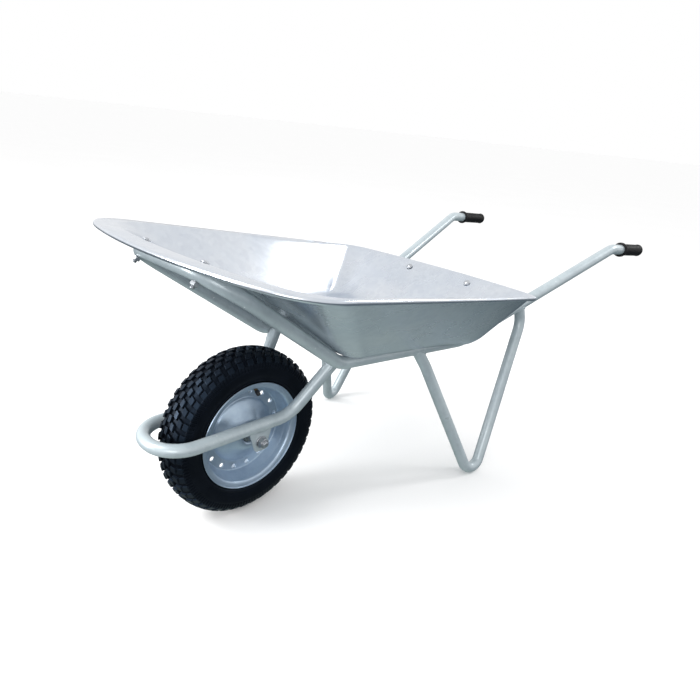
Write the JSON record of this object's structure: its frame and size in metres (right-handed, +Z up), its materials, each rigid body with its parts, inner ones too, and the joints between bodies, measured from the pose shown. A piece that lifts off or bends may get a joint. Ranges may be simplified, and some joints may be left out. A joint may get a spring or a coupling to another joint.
{
  "type": "wheelbarrow",
  "caption": "Single-wheel barrow with a shallow flared sheet tray on a bent tube frame, V-shaped legs, a front guard loop and ribbed hand grips.",
  "frame": {"origin": "on the ground under the middle of the overall length and width", "axes": "+Z up, +Y from the wheel towards the handles, X along the axle"},
  "size_m": [0.6448, 1.4438, 0.5606],
  "materials": {
    "galvanised_sheet": "bright galvanised sheet, satin",
    "frame_paint": "semi-gloss light grey paint",
    "wheel_steel": "zinc plated pressed steel, satin",
    "zinc_plate": "bright zinc plate",
    "bearing_steel": "ground bearing steel",
    "tyre_rubber": "black moulded rubber",
    "grip_plastic": "black ribbed soft plastic",
    "valve_brass": "plain turned brass",
    "valve_cap_plastic": "black moulded plastic"
  },
  "bodies": {
    "frame": {"front_right_bolt": "zinc_plate", "front_right_washer": "zinc_plate", "front_right_nut": "zinc_plate", "rear_right_bolt": "zinc_plate", "rear_right_washer": "zinc_plate", "rear_right_nut": "zinc_plate", "front_left_bolt": "zinc_plate", "front_left_washer": "zinc_plate", "front_left_nut": "zinc_plate", "rear_left_bolt": "zinc_plate", "rear_left_washer": "zinc_plate", "rear_left_nut": "zinc_plate", "tray": "galvanised_sheet", "main_frame_tube": "frame_paint", "rear_tray_support": "frame_paint", "lower_cross_bar": "frame_paint", "fork_guard_tube": "frame_paint", "leg_right": "frame_paint", "leg_left": "frame_paint", "grip_right": "grip_plastic", "grip_left": "grip_plastic", "axle": "zinc_plate", "bearing_spacer": "zinc_plate", "bearing_inner_race_right": "bearing_steel", "axle_spacer_right": "zinc_plate", "axle_washer_right": "zinc_plate", "axle_nut_right": "zinc_plate", "axle_hanger_right": "frame_paint", "bearing_inner_race_left": "bearing_steel", "axle_spacer_left": "zinc_plate", "axle_washer_left": "zinc_plate", "axle_nut_left": "zinc_plate", "axle_hanger_left": "frame_paint"},
    "wheel": {"wheel_disc_right": "wheel_steel", "wheel_disc_left": "wheel_steel", "tyre": "tyre_rubber", "inner_tube": "tyre_rubber", "valve_stem": "valve_brass", "valve_cap": "valve_cap_plastic", "bearing_outer_race_right": "bearing_steel", "bearing_outer_race_left": "bearing_steel"}
  },
  "joints": [
    {"name": "wheel_spin", "type": "hinge", "parent": "frame", "child": "wheel", "pos_m": [0, -0.5075, 0.175], "axis": [1, 0, 0], "continuous": true}
  ]
}
